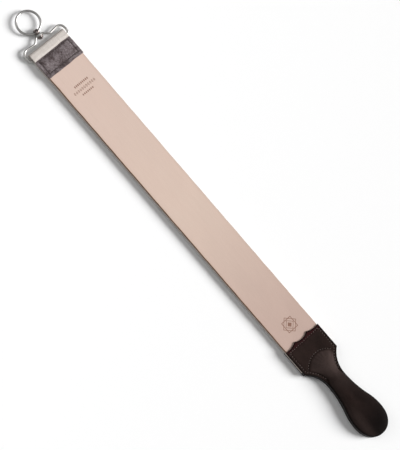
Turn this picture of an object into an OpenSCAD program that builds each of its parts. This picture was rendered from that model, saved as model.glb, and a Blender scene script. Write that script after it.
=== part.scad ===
// Hanging razor strop, lying on its back. X runs from the ring to the handle, Z is up.
// Lengths along the strop are distances from the outer edge of the ring.

/* [Overall] */
// Length from the ring to the end of the handle
total_l = 607; // [580:1:640]
// Width of the linen strap, the patch and the flat part of the handle
strop_w = 50; // [46:1:54]

/* [Straps] */
// Width of the leather strap
leather_w = 48; // [44:0.5:50]
// Thickness of the leather strap
leather_t = 2.8; // [2.4:0.1:3.2]
// Thickness of the linen webbing
linen_t = 2; // [1.8:0.1:2.1]
// Number of places where the straps bend
bends = 6; // [4:1:8]

/* [Hanging ring] */
// Outer diameter of the ring
ring_d = 30; // [28:0.5:32]
// Wire diameter of the ring
ring_wire = 2.7; // [2.4:0.1:2.8]
// Gap where the ends of the ring's wire meet
ring_gap = 0.3; // [0.2:0.1:0.6]

/* [Swivel] */
// Outer radius of the eye that holds the ring
eye_r = 3.3; // [3.2:0.05:3.5]
// Radius of the hole in the eye
eye_hole_r = 1.9; // [1.85:0.05:2]
// Width of the eye across the strop
eye_w = 4.6; // [4:0.1:5]
// Radius of the swivel's shank
shank_r = 1.5; // [1.3:0.05:1.6]
// Radius of the head that holds the shank in the bail
head_r = 3.7; // [3.4:0.05:3.75]

/* [Bail] */
// Wire diameter of the bail
bail_wire = 2.5; // [2.3:0.1:2.5]
// Distance from the strop's axis to the wire at the bail's widest place
bail_half_w = 28.6; // [28:0.1:30]
// Distance from the ring's edge to the bail's crossbar
crossbar_x = 50.3; // [50:0.1:51]
// Radial play of the shank and of the crossbar
play = 0.08; // [0.05:0.01:0.1]

/* [Patch] */
// Distance from the ring's edge to the patch
patch_x = 54; // [53.5:0.5:55]
// Length of the patch along the strop
patch_l = 23.7; // [22:0.1:26]
// Thickness of the patch
patch_t = 1; // [0.8:0.1:1.2]

/* [Handle] */
// Length of the handle from the scallops' hollows to its round end
handle_l = 136; // [130:1:140]
// Thickness of the front cover
front_t = 1.4; // [1.2:0.1:1.6]
// Thickness of the back cover
back_t = 1.8; // [1.75:0.05:2]
// Height of the padding under the front cover
pad_h = 5.6; // [4:0.1:7]
// Width of the neck
neck_w = 23; // [22:0.5:26]
// Width of the bulb
bulb_w = 39; // [36:0.5:42]
// Radius of the hollow shoulders
shoulder_r = 33; // [32:0.5:34]
// Radius of the curved seam in front of the padding
arc_seam_r = 22.5; // [22:0.5:23]

/* [Stitching] */
// Distance between stitch holes
pitch = 3; // [2.8:0.1:3.2]
// Thickness of the thread
thread_t = 0.7; // [0.6:0.1:0.8]
// Distance from a seam to the edge of the leather
seam_in = 3; // [2.8:0.1:3.4]

/* [Hidden] */
$fn = 96;
axis_z = back_t + linen_t;
leather_top = axis_z + leather_t;
flange_top = leather_top + front_t;

// Ring, eye and shank
ring_r = (ring_d - ring_wire) / 2;
ring_x = ring_d / 2;
ring_pass_x = ring_x + ring_r;
eye_slack = 0.35;
eye_x = ring_pass_x - eye_slack;
boss_x = 31.7;
boss_l = 2.6;
boss_r = 3.4;
head_gap = 0.1;
head_x = boss_x + boss_l + head_gap;
head_l = 3.6;
shank_l = head_x + head_l - eye_x;

// Bail: corners of one half of the wire as [distance, side, bend radius], and the whole loop
bail_top_x = boss_x + boss_l / 2;
BAIL_HALF = [
    [bail_top_x, 4.4, 2.2],
    [38.2, 10.6, 4],
    [36.4, bail_half_w - 1, 6.4],
    [45.2, bail_half_w, 3.5],
    [crossbar_x, 27.6, 1.8]
];
BAIL = concat(BAIL_HALF, [for (i = [4 : -1 : 0]) [BAIL_HALF[i].x, -BAIL_HALF[i].y, BAIL_HALF[i][2]]]);
bend_swell = 0.02;
bend_overlap = 0.05;

// Linen loop around the crossbar
loop_top_x = 42.8;
floor_gap = 0.3;
loop_r = axis_z - floor_gap;
channel_r = bail_wire / 2 + play;
loop_far_x = loop_top_x + loop_r;
hem_x = 60;
skive_x = 57;
leather_x = 62;

// Seams
leg_r = thread_t / 2 + 0.05;
bar_w = thread_t - 0.2;
under_z = 0.15;

// Handle: s is the distance from the scallops' hollows
handle_x = total_l - handle_l;
scallop_h = 3;
scallop_y = 9;
mid_scallop_r = (scallop_y * scallop_y + scallop_h * scallop_h) / (2 * scallop_h);
side_scallop_y = 20;
side_span = side_scallop_y - scallop_y;
side_scallop_r = (side_span * side_span + scallop_h * scallop_h) / (2 * scallop_h);
strap_end_s = 28;
arc_apex_s = 21;
neck_s = 58.4;
bulb_s = handle_l - 24.5;
neck_rise = (bulb_w - neck_w) / 2;
neck_turn = 2 * atan(neck_rise / (bulb_s - neck_s));
neck_radii = (bulb_s - neck_s) / sin(neck_turn);
neck_share = 0.66;
pad_in = 2.2;
pad_in_seam = 3.9;
pad_round = 9.5;
pad_rise = 20;
pad_clear = 0.1;

// Bending places, from the handle towards the ring
bend_near_x = handle_x - scallop_h;
bend_pitch = (bend_near_x - patch_x - patch_l) / bends;
function bend_x(k) = bend_near_x - (k - 0.5) * bend_pitch;
// Ends of segment k: the first runs into the handle and the last under the patch
function segment_to(k) = k == 1 ? handle_x + strap_end_s : bend_x(k - 1);

LEATHER = [for (k = [1 : bends + 1]) str("leather_strap_", k)];
LINEN = [for (k = [1 : bends + 1]) str("linen_strap_", k)];

leather_tan = [0.84, 0.73, 0.67];
linen_cream = [0.86, 0.83, 0.79];
handle_brown = [0.16, 0.12, 0.11];
nickel = [0.82, 0.82, 0.83];

// Puts a child at a distance from the ring's edge, at the height of the ring's plane
module at(x, z = axis_z) translate([x - total_l / 2, 0, z]) children();

// Half of the handle's outline at s: side, hollow shoulder, neck, bulb, round end
function half_w(s) =
    let (
        side = strop_w / 2,
        neck = neck_w / 2,
        bulb = bulb_w / 2,
        change = neck_s + neck_share * neck_radii * sin(neck_turn),
        neck_r = neck_share * neck_radii,
        bulb_r = (1 - neck_share) * neck_radii
    )
    s < neck_s - shoulder_r ? side :
    s < neck_s ? min(side, neck + shoulder_r - sqrt(pow(shoulder_r, 2) - pow(neck_s - s, 2))) :
    s < change ? neck + neck_r - sqrt(pow(neck_r, 2) - pow(s - neck_s, 2)) :
    s < bulb_s ? bulb - bulb_r + sqrt(pow(bulb_r, 2) - pow(bulb_s - s, 2)) :
    round_end(s, bulb, handle_l);
function round_end(s, w, end_s) =
    w * pow(max(0, 1 - pow((s - bulb_s) / (end_s - bulb_s), 2.2)), 1 / 2.2);

// The padding stays inside the shoulder seam, and comes closer to the edge behind the seam's end
function smooth(a, b, s) = let (t = min(1, max(0, (s - a) / (b - a)))) t * t * (3 - 2 * t);
function slant(s) = s < neck_s ? sqrt(1 - pow(min(1, (neck_s - s) / shoulder_r), 2)) : 1;
function pad_inset(s) = (pad_in_seam + (pad_in - pad_in_seam) * smooth(51, 62, s)) / max(0.3, slant(s));
function pad_front_s() = arc_apex_s + 1.2;

// Half width of the padding at s, made larger by grow for the cover over it
function pad_half(s, grow) =
    let (
        front = pad_front_s() - grow,
        r = arc_seam_r - 1.2 + grow,
        arc = s < front + r ? sqrt(max(0, r * r - pow(front + r - s, 2))) : r,
        side = s < bulb_s ? half_w(s) - pad_inset(s) + grow
            : round_end(s, bulb_w / 2 - pad_in + grow, handle_l - pad_in + grow)
    )
    s < front + r * 0.7 ? min(arc, side) : side;

// Height of the padding over the stiffener: a plateau with round sides
function pad_z(s, y, grow) =
    let (
        in_side = max(0, pad_half(s, grow) - abs(y)),
        in_front = max(0, s - pad_front_s() + grow),
        in_end = max(0, handle_l - pad_in + grow - s),
        q1 = max(0, 1 - in_side / (pad_round + grow)),
        q2 = max(0, 1 - in_front / pad_rise),
        q3 = max(0, 1 - in_end / (pad_round + grow))
    )
    (pad_h + grow) * sqrt(max(0, 1 - pow(max(q1, q3), 2) - q2 * q2));

// Stations along the handle and places across it, closer together where it curves
function stations(from, to, n) = [for (i = [0 : n]) from + (to - from) * sin(90 * i / n)];
ACROSS = [for (j = [-8 : 8]) sin(90 * j / 8)];

// Closed solid between two height fields over the same grid of points
module layer(grid, low, high) {
    rows = len(grid);
    n = len(grid[0]);
    ring = 2 * n;
    points = [
        for (i = [0 : rows - 1])
            for (j = [0 : ring - 1])
                j < n ? [grid[i][j].x, grid[i][j].y, high[i][j]]
                    : [grid[i][ring - 1 - j].x, grid[i][ring - 1 - j].y, low[i][ring - 1 - j]]
    ];
    sides = [
        for (i = [0 : rows - 2])
            for (j = [0 : ring - 1])
                let (a = i * ring + j, b = i * ring + (j + 1) % ring)
                    each [[a, b, b + ring], [a, b + ring, a + ring]]
    ];
    near = [
        for (j = [0 : n - 2])
            each [[j, ring - 1 - j, ring - 2 - j], [j, ring - 2 - j, j + 1]]
    ];
    last = (rows - 1) * ring;
    far = [for (f = near) [f[2] + last, f[1] + last, f[0] + last]];
    polyhedron(points, concat(sides, near, far), convexity = 6);
}

// Wire from p to q in the plane of the ring
module wire_line(p, q, r) {
    d = q - p;
    translate([p.x, p.y, 0])
        rotate([0, 0, atan2(d.y, d.x)])
            rotate([0, 90, 0])
                cylinder(r = r, h = norm(d));
}

// Bend of a wire at corner b between a and c, with its own radius
function unit(v) = v / norm(v);
function xy(p) = [p.x, p.y];
function corner_angle(a, b, c) = acos(unit(xy(b) - xy(a)) * unit(xy(c) - xy(b)));
function trim(a, b, c) = b[2] * tan(corner_angle(a, b, c) / 2);
module wire_bend(a, b, c, r) {
    turn = corner_angle(a, b, c);
    into = unit(xy(b) - xy(a));
    left = cross(into, unit(xy(c) - xy(b))) > 0;
    normal = left ? [-into.y, into.x] : [into.y, -into.x];
    centre = xy(b) - into * trim(a, b, c) + normal * b[2];
    from = atan2(-normal.y, -normal.x);
    translate([centre.x, centre.y, 0])
        rotate([0, 0, left ? from : from - turn])
            rotate_extrude(angle = turn)
                translate([b[2], 0])
                    circle(r = r);
}
module bent_loop(path, r) {
    n = len(path);
    for (i = [0 : n - 1]) {
        before = path[(i + n - 1) % n];
        here = path[i];
        next = path[(i + 1) % n];
        after = path[(i + 2) % n];
        d = unit(xy(next) - xy(here));
        from = xy(here) + d * (trim(before, here, next) - bend_overlap);
        to = xy(next) - d * (trim(here, next, after) - bend_overlap);
        wire_line(from, to, r);
        wire_bend(before, here, next, r + bend_swell);
    }
}

// Outline drawn in length and height, made as wide as the strop
module across(w) translate([0, w / 2, 0]) rotate([90, 0, 0]) linear_extrude(height = w) children();

// Seam through its points: a leg through the layers at each, thread on top and underneath
module thread_bar(p, q) {
    d = q - p;
    translate(p)
        rotate([0, -atan2(d.z, norm([d.x, d.y])), atan2(d.y, d.x)])
            translate([0, -bar_w / 2, 0])
                cube([norm(d), bar_w, bar_w]);
}
module seam(points, low)
    translate([-total_l / 2, 0, 0]) {
        for (p = points)
            translate([p.x, p.y, low]) cylinder(r = leg_r, h = p.z + leg_r - low);
        for (i = [0 : len(points) - 2]) {
            p = points[i];
            q = points[i + 1];
            sink = [0, 0, bar_w / 3];
            thread_bar(p - sink, q - sink);
            thread_bar([p.x, p.y, low + 0.1], [q.x, q.y, low + 0.1]);
        }
    }

module hanging_ring() color(nickel)
    at(ring_x)
        rotate([0, 0, 180 + ring_gap / ring_r * 90 / PI])
            rotate_extrude(angle = 360 - ring_gap / ring_r * 180 / PI)
                translate([ring_r, 0])
                    circle(d = ring_wire);

module swivel_eye() color(nickel)
    difference() {
        union() {
            at(eye_x) rotate([90, 0, 0]) cylinder(r = eye_r, h = eye_w, center = true);
            at(eye_x) rotate([0, 90, 0]) cylinder(r = shank_r, h = shank_l);
        }
        at(eye_x) rotate([90, 0, 0]) cylinder(r = eye_hole_r, h = eye_w + 2, center = true);
    }

module swivel_head() color(nickel)
    at(head_x)
        difference() {
            rotate([0, 90, 0])
                rotate_extrude()
                    intersection() {
                        translate([0, head_l - head_r]) circle(r = head_r);
                        square([head_r, head_l]);
                    }
            rotate([0, 90, 0]) cylinder(r = shank_r, h = 3 * head_l, center = true);
        }

module wire_bail() color(nickel)
    difference() {
        union() {
            at(0) bent_loop(BAIL, bail_wire / 2);
            at(boss_x) rotate([0, 90, 0]) cylinder(r = boss_r, h = boss_l);
        }
        at(boss_x - 1) rotate([0, 90, 0]) cylinder(r = shank_r + play, h = boss_l + 2);
    }

// Height of the patch's underside: on the linen hem, then up the skived leather
hem_top = axis_z + linen_t;
function patch_low(x) =
    x < skive_x ? hem_top
        : x > leather_x ? leather_top
        : hem_top + (leather_top - hem_top) * (x - skive_x) / (leather_x - skive_x);

module suede_patch() color([0.42, 0.37, 0.37])
    at(0, 0)
        across(strop_w)
            polygon([
                [patch_x, hem_top],
                [skive_x, hem_top],
                [leather_x, leather_top],
                [patch_x + patch_l, leather_top],
                [patch_x + patch_l, leather_top + patch_t],
                [leather_x, leather_top + patch_t],
                [skive_x, hem_top + patch_t],
                [patch_x, hem_top + patch_t]
            ]);

// Stitched rectangle of the patch: one row across, along, back across and along again
row_half = 7;
patch_row_x = patch_x + 1.8;
patch_row_l = patch_l - 6.2;
patch_row_y = row_half * pitch;
patch_rows = round(patch_row_l / pitch);
patch_step = patch_row_l / patch_rows;
function patch_hole(x, y) = [x, y, patch_low(x) + patch_t];
PATCH_SEAM = concat(
    [for (i = [-row_half : row_half]) patch_hole(patch_row_x, i * pitch)],
    [for (i = [1 : patch_rows]) patch_hole(patch_row_x + i * patch_step, patch_row_y)],
    [for (i = [1 - row_half : row_half]) patch_hole(patch_row_x + patch_row_l, -i * pitch)],
    [for (i = [patch_rows - 1 : -1 : 0]) patch_hole(patch_row_x + i * patch_step, -patch_row_y)]
);
module patch_thread() color([0.2, 0.16, 0.16]) seam(PATCH_SEAM, back_t - floor_gap);

module leather_strap(k) color(leather_tan)
    at(0, 0)
        across(leather_w)
            if (k <= bends)
                polygon([
                    [bend_x(k), axis_z],
                    [segment_to(k), axis_z],
                    [segment_to(k), leather_top],
                    [bend_x(k), leather_top]
                ]);
            else
                polygon([
                    [segment_to(k), axis_z],
                    [segment_to(k), leather_top],
                    [leather_x, leather_top],
                    [skive_x, hem_top],
                    [hem_x, hem_top],
                    [hem_x, axis_z]
                ]);

// The last segment folds round the crossbar in a flat loop and ends in a hem under the patch
module linen_strap(k) color(linen_cream)
    at(0, 0)
        across(strop_w)
            if (k <= bends)
                translate([bend_x(k), back_t])
                    square([segment_to(k) - bend_x(k), linen_t]);
            else
                difference() {
                    union() {
                        translate([crossbar_x, back_t]) square([segment_to(k) - crossbar_x, linen_t]);
                        translate([crossbar_x, axis_z]) square([hem_x - crossbar_x, linen_t]);
                        translate([loop_far_x, axis_z]) circle(r = loop_r);
                        translate([loop_far_x, axis_z - loop_r])
                            square([crossbar_x - loop_far_x, 2 * loop_r]);
                        polygon([
                            [crossbar_x, axis_z - loop_r],
                            [skive_x - 3, back_t],
                            [skive_x - 3, hem_top],
                            [crossbar_x, axis_z + loop_r]
                        ]);
                    }
                    translate([crossbar_x, axis_z]) circle(r = channel_r);
                    translate([loop_far_x, axis_z]) circle(r = channel_r);
                    translate([loop_far_x, axis_z - channel_r])
                        square([crossbar_x - loop_far_x, 2 * channel_r]);
                }

// Handle outline from s on, with its round end
module outline(from_s) {
    s_list = concat([from_s], [for (s = [30 : 2 : bulb_s]) s], stations(bulb_s, handle_l, 14));
    polygon(concat(
        [for (s = s_list) [handle_x + s, half_w(s)]],
        [for (i = [len(s_list) - 2 : -1 : 0]) [handle_x + s_list[i], -half_w(s_list[i])]]
    ));
}

module handle_back_cover() color(handle_brown)
    at(0, 0) linear_extrude(height = back_t) outline(-1);

module handle_stiffener() color([0.5, 0.36, 0.24])
    at(0, back_t) linear_extrude(height = leather_top - back_t) outline(strap_end_s);

module handle_pad() color([0.7, 0.68, 0.64]) {
    s_list = stations(pad_front_s() + 0.4, handle_l - pad_in - pad_clear, 34);
    grid = [for (s = s_list) [for (t = ACROSS) [handle_x + s, t * pad_half(s, -pad_clear)]]];
    high = [for (row = grid) [for (p = row) max(0.3, pad_z(p.x - handle_x, p.y, -pad_clear))]];
    at(0, leather_top) layer(grid, high * 0, high);
}

module handle_front_cover() color(handle_brown)
    difference() {
        s_list = concat([-scallop_h, 12], stations(arc_apex_s - 0.4, handle_l - 0.01, 44));
        grid = [for (s = s_list) [for (t = ACROSS) [handle_x + s, t * half_w(s)]]];
        low = [for (row = grid) [for (p = row) pad_z(p.x - handle_x, p.y, 0)]];
        high = [for (row = grid) [for (p = row) max(front_t, pad_z(p.x - handle_x, p.y, front_t))]];
        at(0, leather_top) layer(grid, low, high);
        at(handle_x - mid_scallop_r, leather_top - 1) cylinder(r = mid_scallop_r, h = front_t + 2);
        for (side = [-1, 1])
            translate([0, side * side_scallop_y, 0])
                at(handle_x - side_scallop_r, leather_top - 1)
                    cylinder(r = side_scallop_r, h = front_t + 2);
    }

// One seam goes along one shoulder and side, across the scalloped edge and back down the other
seam_y = strop_w / 2 - seam_in;
seam_r = shoulder_r + seam_in;
seam_from = acos((neck_w / 2 + shoulder_r - seam_y) / seam_r);
side_s = neck_s - seam_r * sin(seam_from);
seam_row_s = 2.8;
side_stitches = round((side_s - seam_row_s) / pitch);
shoulder_to = 12;
shoulder_stitches = 8;
row_stitches = round(2 * seam_y / pitch);
SIDE = concat(
    [for (i = [0 : shoulder_stitches - 1])
        let (a = shoulder_to + (seam_from - shoulder_to) * i / shoulder_stitches)
            [neck_s - seam_r * sin(a), neck_w / 2 + shoulder_r - seam_r * cos(a)]],
    [for (i = [0 : side_stitches - 1]) [side_s + (seam_row_s - side_s) * i / side_stitches, seam_y]]
);
HANDLE_SEAM = [
    for (p = concat(
        SIDE,
        [for (i = [0 : row_stitches]) [seam_row_s, seam_y - 2 * seam_y * i / row_stitches]],
        [for (i = [len(SIDE) - 1 : -1 : 0]) [SIDE[i].x, -SIDE[i].y]]
    )) [handle_x + p.x, p.y, flange_top]
];
module handle_seam_thread() color([0.35, 0.3, 0.28]) seam(HANDLE_SEAM, under_z);

// Curved seam in front of the padding, from shoulder seam to shoulder seam
arc_half = 53;
arc_stitches = round(2 * arc_half * PI / 180 * arc_seam_r / pitch);
GRIP_SEAM = [
    for (i = [0 : arc_stitches])
        let (a = -arc_half + 2 * arc_half * i / arc_stitches)
            [
                handle_x + arc_apex_s + arc_seam_r * (1 - cos(a)),
                arc_seam_r * sin(a),
                flange_top
            ]
];
module grip_seam_thread() color([0.35, 0.3, 0.28]) seam(GRIP_SEAM, under_z);

hanging_ring();
swivel_eye();
swivel_head();
wire_bail();
suede_patch();
patch_thread();
for (k = [1 : bends + 1]) leather_strap(k);
for (k = [1 : bends + 1]) linen_strap(k);
handle_front_cover();
handle_back_cover();
handle_stiffener();
handle_pad();
handle_seam_thread();
grip_seam_thread();
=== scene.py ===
"""Looks of the hanging leather strop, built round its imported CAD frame.

Lengths are in millimetres, and in metres from the stage on. d runs along the strop from the
ring's outer edge, s along the handle from its scallops' hollows, y runs across and z is up.
"""

import math
import random

import bmesh
import bpy
import numpy as np
from mathutils import Matrix, Vector


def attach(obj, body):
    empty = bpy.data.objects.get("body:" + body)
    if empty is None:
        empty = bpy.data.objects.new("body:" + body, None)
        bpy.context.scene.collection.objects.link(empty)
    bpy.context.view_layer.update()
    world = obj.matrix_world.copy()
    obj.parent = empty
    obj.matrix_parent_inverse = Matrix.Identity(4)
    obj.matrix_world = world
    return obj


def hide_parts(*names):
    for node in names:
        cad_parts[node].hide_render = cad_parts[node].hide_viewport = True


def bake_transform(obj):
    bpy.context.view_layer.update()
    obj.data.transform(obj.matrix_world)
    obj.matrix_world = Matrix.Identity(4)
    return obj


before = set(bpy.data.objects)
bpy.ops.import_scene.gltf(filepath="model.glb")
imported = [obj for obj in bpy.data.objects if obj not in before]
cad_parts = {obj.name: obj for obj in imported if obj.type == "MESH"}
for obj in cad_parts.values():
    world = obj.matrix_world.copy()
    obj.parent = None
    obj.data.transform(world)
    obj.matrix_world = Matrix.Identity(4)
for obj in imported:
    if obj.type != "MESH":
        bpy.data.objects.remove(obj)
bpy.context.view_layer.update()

MM = 0.001
HALF_LENGTH = 607.0 / 2
# Where the handle's scallops are deepest
HANDLE_D = 471.0
# Half widths of the leather strap, and of the linen, the patch and the handle's flat part
LEATHER_HALF = 24.0
LINEN_HALF = 25.0
# Heights of the linen's lower face, its upper face and the wires' middles, and the leather's face
STRAP_LOW = 1.8
AXIS_Z = 3.8
LEATHER_TOP = 6.6
# Height of the linen's hem, and thickness of the handle's front cover
HEM_TOP = 5.8
FLANGE = 1.4
FLANGE_TOP = LEATHER_TOP + FLANGE
# Between these the patch rises from the linen's hem to the leather
RISE_FROM, RISE_TO = 57.0, 62.0
# Spacing of the linen's warp and weft
WARP = 1.0
WEFT = 1.15
# Where the hem ends, and the leather butts against it
HEM_D = 60.0
# Distance between stitch holes
PITCH = 3.0
rng = random.Random(7)


def add_object(name, data):
    """New object in the scene."""
    made = bpy.data.objects.new(name, data)
    bpy.context.scene.collection.objects.link(made)
    return made


def mesh_piece(name, points, faces, grain=None, rim=None, sharp=40):
    """Mesh object from points as rows of (d, y, z). grain is each point's place on the material,
    in mm, and rim is its distance from the piece's edge."""
    points = np.asarray(points, float).reshape(-1, 3)
    mesh = bpy.data.meshes.new(name)
    shifted = (points - np.array([HALF_LENGTH, 0, 0])) * MM
    mesh.from_pydata(shifted.tolist(), [], [tuple(int(v) for v in f) for f in faces])
    mesh.validate()
    mesh.shade_smooth()
    mesh.set_sharp_from_angle(angle=math.radians(sharp))
    grain = points if grain is None else np.asarray(grain, float).reshape(-1, 3)
    put = mesh.attributes.new("grain", "FLOAT_VECTOR", "POINT")
    put.data.foreach_set("vector", grain.astype(np.float32).ravel())
    if rim is not None:
        put = mesh.attributes.new("rim", "FLOAT", "POINT")
        put.data.foreach_set("value", np.asarray(rim, np.float32).ravel())
    return add_object(name, mesh)


def grid_faces(rows, n, wrap_rows=False):
    """Quads between closed rings of n points."""
    faces = []
    for i in range(rows if wrap_rows else rows - 1):
        a, b = i * n, (i + 1) % rows * n
        for j in range(n):
            k = (j + 1) % n
            faces.append((a + j, a + k, b + k, b + j))
    return faces


def end_faces(rows, n):
    """The two faces that close a row of rings."""
    last = (rows - 1) * n
    return [tuple(range(n))[::-1], tuple(last + j for j in range(n))]


def slab(name, top, low, grain_top=None, grain_low=None, rim=None, sharp=40):
    """Closed solid between two grids of points with the same rows and columns."""
    rows, n = top.shape[:2]
    both = np.concatenate([top, low[:, ::-1]], axis=1)
    faces = grid_faces(rows, 2 * n)
    last = (rows - 1) * 2 * n
    for j in range(n - 1):
        end = (j, 2 * n - 1 - j, 2 * n - 2 - j, j + 1)
        faces.append(end[::-1])
        faces.append(tuple(v + last for v in end))
    faces = [f[::-1] for f in faces]
    grain = None
    if grain_top is not None:
        grain = np.concatenate([grain_top, grain_low[:, ::-1]], axis=1)
    if rim is not None:
        rim = np.concatenate([rim, rim[:, ::-1]], axis=1)
    return mesh_piece(name, both, faces, grain, rim, sharp)


def tube(path, radii, n):
    """Points and faces of a round bar along a path whose bends stay clear of the vertical."""
    path = np.asarray(path, float)
    radii = np.broadcast_to(radii, len(path))
    along = np.gradient(path, axis=0)
    along /= np.linalg.norm(along, axis=1)[:, None]
    side = np.cross(along, [0, 0, 1.0])
    side /= np.linalg.norm(side, axis=1)[:, None]
    up = np.cross(side, along)
    turn = np.arange(n) * 2 * math.pi / n
    rings = (
        path[:, None]
        + radii[:, None, None] * np.cos(turn)[None, :, None] * side[:, None]
        + radii[:, None, None] * np.sin(turn)[None, :, None] * up[:, None]
    )
    return rings.reshape(-1, 3), grid_faces(len(path), n) + end_faces(len(path), n)


def lathe(name, profile, centre, axis, n, closed=False):
    """Turned piece. profile holds (place along the axis, radius); closed joins its ends."""
    profile = np.asarray(profile, float)
    turn = np.arange(n) * 2 * math.pi / n
    ring = np.stack([np.cos(turn), np.sin(turn)], axis=1)
    rows = []
    for place_along, radius in profile:
        flat = ring * radius
        along = np.full(n, place_along)
        if axis == "x":
            rows.append(np.stack([along, flat[:, 0], flat[:, 1]], axis=1))
        else:
            rows.append(np.stack([flat[:, 0], along, flat[:, 1]], axis=1))
    points = np.concatenate(rows) + np.array(centre)
    faces = grid_faces(len(profile), n, closed)
    if not closed:
        faces += end_faces(len(profile), n)
    made = mesh_piece(name, points, faces, sharp=50)
    outward(made)
    return made


def outward(piece):
    """Turns every face to the outside."""
    work = bmesh.new()
    work.from_mesh(piece.data)
    bmesh.ops.recalc_face_normals(work, faces=work.faces)
    work.to_mesh(piece.data)
    work.free()


def arc_points(cx, cy, r, start, end, n):
    """Points of an arc, with its angles in degrees."""
    return [
        (cx + r * math.cos(a), cy + r * math.sin(a))
        for a in np.radians(np.linspace(start, end, n))
    ]


def smooth(a, b, x):
    """0 up to a, 1 from b on, and a smooth change between them."""
    t = np.clip((np.asarray(x, float) - a) / (b - a), 0, 1)
    return t * t * (3 - 2 * t)


def wave(seed, x, y, size):
    """Smooth unevenness between -1 and 1, with bumps about size apart."""
    draw = random.Random(seed)
    total = 0
    for _ in range(6):
        a, turn = draw.uniform(0, 2 * math.pi), draw.uniform(0, 2 * math.pi)
        k = draw.uniform(0.6, 1.5) * 2 * math.pi / size
        total = total + np.sin(k * (x * math.cos(a) + y * math.sin(a)) + turn)
    return total / 3.5


def rounded(e, r):
    """How far a surface with edge radius r has dropped at distance e from the edge."""
    e = np.clip(e, 0, r)
    return r - np.sqrt(np.maximum(0, r * r - (r - e) ** 2))


def line_distance(x, y, line):
    """Distance of each point from a line of points."""
    line = np.asarray(line, float)
    best = np.full(x.shape, 1e9)
    for a, b in zip(line[:-1], line[1:]):
        ab = b - a
        size = max(1e-12, ab @ ab)
        t = np.clip(((x - a[0]) * ab[0] + (y - a[1]) * ab[1]) / size, 0, 1)
        best = np.minimum(best, np.hypot(x - a[0] - t * ab[0], y - a[1] - t * ab[1]))
    return best


def hole_distance(x, y, holes):
    """Distance of each point from the nearest stitch hole."""
    best = np.full(x.shape, 1e9)
    for a, b in holes:
        best = np.minimum(best, np.hypot(x - a, y - b))
    return best


# -------- materials
def colour(r, g, b):
    """Linear colour from 0 to 255 sRGB values."""
    def one(v):
        v /= 255
        return v / 12.92 if v <= 0.04045 else ((v + 0.055) / 1.055) ** 2.4
    return (one(r), one(g), one(b), 1.0)


class Paint:
    """One material, with short calls for the nodes that its pattern uses."""

    def __init__(self, name, rough=0.5, metal=0.0, specular=0.5):
        self.mat = bpy.data.materials.new(name)
        self.mat.use_nodes = True
        self.tree = self.mat.node_tree
        self.shader = self.tree.nodes["Principled BSDF"]
        self.shader.inputs["Roughness"].default_value = rough
        self.shader.inputs["Metallic"].default_value = metal
        self.shader.inputs["Specular IOR Level"].default_value = specular

    def add(self, kind, **values):
        """New node."""
        node = self.tree.nodes.new(kind)
        for key, value in values.items():
            setattr(node, key, value)
        return node

    def put(self, socket, value):
        """Links a socket, or sets its value."""
        if isinstance(value, bpy.types.NodeSocket):
            self.tree.links.new(value, socket)
        else:
            socket.default_value = value

    def grain(self, scale=(1, 1, 1)):
        """Place on the material, in mm."""
        node = self.add("ShaderNodeAttribute", attribute_name="grain")
        if scale == (1, 1, 1):
            return node.outputs["Vector"]
        times = self.add("ShaderNodeVectorMath", operation="MULTIPLY")
        self.put(times.inputs[0], node.outputs["Vector"])
        times.inputs[1].default_value = scale
        return times.outputs["Vector"]

    def axes(self):
        """The three parts of that place: along the strop, across it and up."""
        node = self.add("ShaderNodeSeparateXYZ")
        self.put(node.inputs[0], self.grain())
        return node.outputs

    def rim(self):
        """Distance from the piece's edge or seam, in mm."""
        return self.add("ShaderNodeAttribute", attribute_name="rim").outputs["Fac"]

    def noise(self, size, scale=(1, 1, 1), detail=3.0, rough=0.55, bend=0.0):
        node = self.add("ShaderNodeTexNoise")
        self.put(node.inputs["Vector"], self.grain(scale))
        node.inputs["Scale"].default_value = 1 / size
        node.inputs["Detail"].default_value = detail
        node.inputs["Roughness"].default_value = rough
        node.inputs["Distortion"].default_value = bend
        return node.outputs["Fac"]

    def cells(self, size, feature="F1"):
        node = self.add("ShaderNodeTexVoronoi", feature=feature)
        self.put(node.inputs["Vector"], self.grain())
        node.inputs["Scale"].default_value = 1 / size
        return node.outputs["Distance"]

    def math(self, kind, a, b=0.0, c=0.0):
        node = self.add("ShaderNodeMath", operation=kind)
        for socket, value in zip(node.inputs, (a, b, c)):
            self.put(socket, value)
        return node.outputs[0]

    def times(self, a, b):
        return self.math("MULTIPLY", a, b)

    def spread(self, value, low, high, to_low=0.0, to_high=1.0):
        """to_low where value is low, to_high where it is high, and a smooth change between them."""
        node = self.add("ShaderNodeMapRange", interpolation_type="SMOOTHSTEP")
        for socket, v in zip(node.inputs, (value, low, high, to_low, to_high)):
            self.put(socket, v)
        return node.outputs[0]

    def mix(self, share, a, b):
        node = self.add("ShaderNodeMix", data_type="RGBA")
        self.put(node.inputs[0], share)
        self.put(node.inputs[6], a)
        self.put(node.inputs[7], b)
        return node.outputs[2]

    def bumps(self, *layers):
        """Each layer is (height from 0 to 1, its depth in mm)."""
        normal = None
        for height, depth in layers:
            node = self.add("ShaderNodeBump")
            node.inputs["Distance"].default_value = depth * MM
            self.put(node.inputs["Height"], height)
            if normal is not None:
                self.put(node.inputs["Normal"], normal)
            normal = node.outputs["Normal"]
        self.put(self.shader.inputs["Normal"], normal)

    def finish(self, base, rough=None):
        self.put(self.shader.inputs["Base Color"], base)
        if rough is not None:
            self.put(self.shader.inputs["Roughness"], rough)
        return self.mat


def lozenge(p, along, across, half_l, half_w):
    """0 in the middle of a lozenge and 1 on its edge."""
    a = p.math("DIVIDE", p.math("ABSOLUTE", along), half_l)
    b = p.math("DIVIDE", p.math("ABSOLUTE", across), half_w)
    return p.math("ADD", a, b)


def within(p, value, limit, soft):
    """1 where value is under the limit."""
    return p.spread(value, limit - soft, limit + soft, 1.0, 0.0)


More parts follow.
